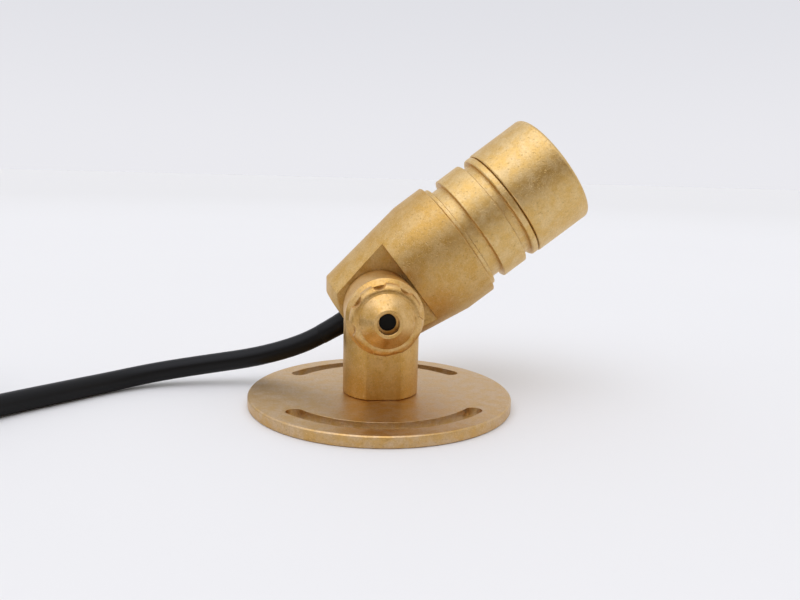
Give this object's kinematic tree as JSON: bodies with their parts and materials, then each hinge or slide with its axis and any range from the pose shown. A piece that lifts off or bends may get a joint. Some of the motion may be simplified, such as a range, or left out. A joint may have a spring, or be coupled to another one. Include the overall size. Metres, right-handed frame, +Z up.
{
  "type": "underwater pond light",
  "caption": "Turned brass spotlight head on a tilting clamp post and round slotted base plate, with a coiled cable and waterproof connector.",
  "frame": {"origin": "centre of the base plate's underside", "axes": "+Z up through the post, the head tilts towards +X, the clamp nut faces -Y"},
  "size_m": [0.3628, 0.1354, 0.1087],
  "materials": {
    "brass_plate": "satin turned",
    "brass_post": "satin tumbled",
    "brass_head": "satin tumbled",
    "brass_clamp": "satin turned",
    "steel": "plain",
    "nylon_black": "matte",
    "rubber_black": "matte",
    "cable_black": "smooth",
    "lens_glass": "clear",
    "board_white": "solder mask",
    "led_yellow": "phosphor",
    "reflector_silver": "satin",
    "board_green": "solder mask",
    "ferrite": "matte",
    "capacitor_sleeve": "sleeve",
    "terminal_green": "moulded",
    "wire_red": "insulation",
    "wire_brown": "insulation"
  },
  "bodies": {
    "base": {"base_plate": "brass_plate", "post": "brass_post", "post_screws": "steel", "pivot_washer": "nylon_black", "cord_lead": "cable_black", "cord_coil": "cable_black", "coil_ties": "nylon_black", "cord_tail": "cable_black", "plug_nut": "nylon_black", "plug_body": "nylon_black", "plug_shroud": "nylon_black", "plug_pins": "brass_clamp"},
    "head": {"rear_housing": "brass_head", "front_barrel": "brass_head", "pivot_stud": "steel", "housing_oring": "rubber_black", "cap_oring": "rubber_black", "led_board": "board_white", "led_chips": "led_yellow", "board_screws": "steel", "reflector": "reflector_silver", "driver_board": "board_green", "board_clip": "nylon_black", "driver_choke": "ferrite", "driver_capacitor": "capacitor_sleeve", "driver_chips": "nylon_black", "terminal_block": "terminal_green", "led_wires": "wire_red", "gland_nut": "brass_clamp", "gland_seal": "rubber_black", "strain_relief": "rubber_black", "cord_end": "cable_black", "core_wires": "wire_brown"},
    "lens": {"lens_glass": "lens_glass", "lens_gasket": "rubber_black"},
    "cap": {"lens_cap": "brass_head"},
    "washer": {"cone_washer": "brass_clamp"},
    "nut": {"clamp_nut": "brass_clamp", "nut_plug": "rubber_black"}
  },
  "joints": [
    {"name": "head_tilt", "type": "hinge", "parent": "base", "child": "head", "pos_m": [0, 0, 0.0355], "axis": [0, -1, 0], "range_deg": [-37.5, 82.5]},
    {"name": "cap_travel", "type": "slide", "parent": "head", "child": "lens", "axis": [0.7917, 0, 0.611], "range_m": [0, 0.01]},
    {"name": "cap_unscrew", "type": "hinge", "parent": "lens", "child": "cap", "pos_m": [-0.00028, 0.023, 0.03586], "axis": [0.7917, 0, 0.611], "range_deg": [0, 1800]},
    {"name": "clamp_travel", "type": "slide", "parent": "base", "child": "washer", "axis": [0, -1, 0], "range_m": [0, 0.003]},
    {"name": "clamp_unscrew", "type": "hinge", "parent": "washer", "child": "nut", "pos_m": [0, -0.02, 0.0355], "axis": [0, -1, 0], "range_deg": [0, 864]}
  ],
  "couplings": [
    {"joint": "cap_travel", "follows": "cap_unscrew", "m_per_rad": 0.0003183},
    {"joint": "clamp_unscrew", "follows": "clamp_travel", "rad_per_m": 5026.5}
  ]
}
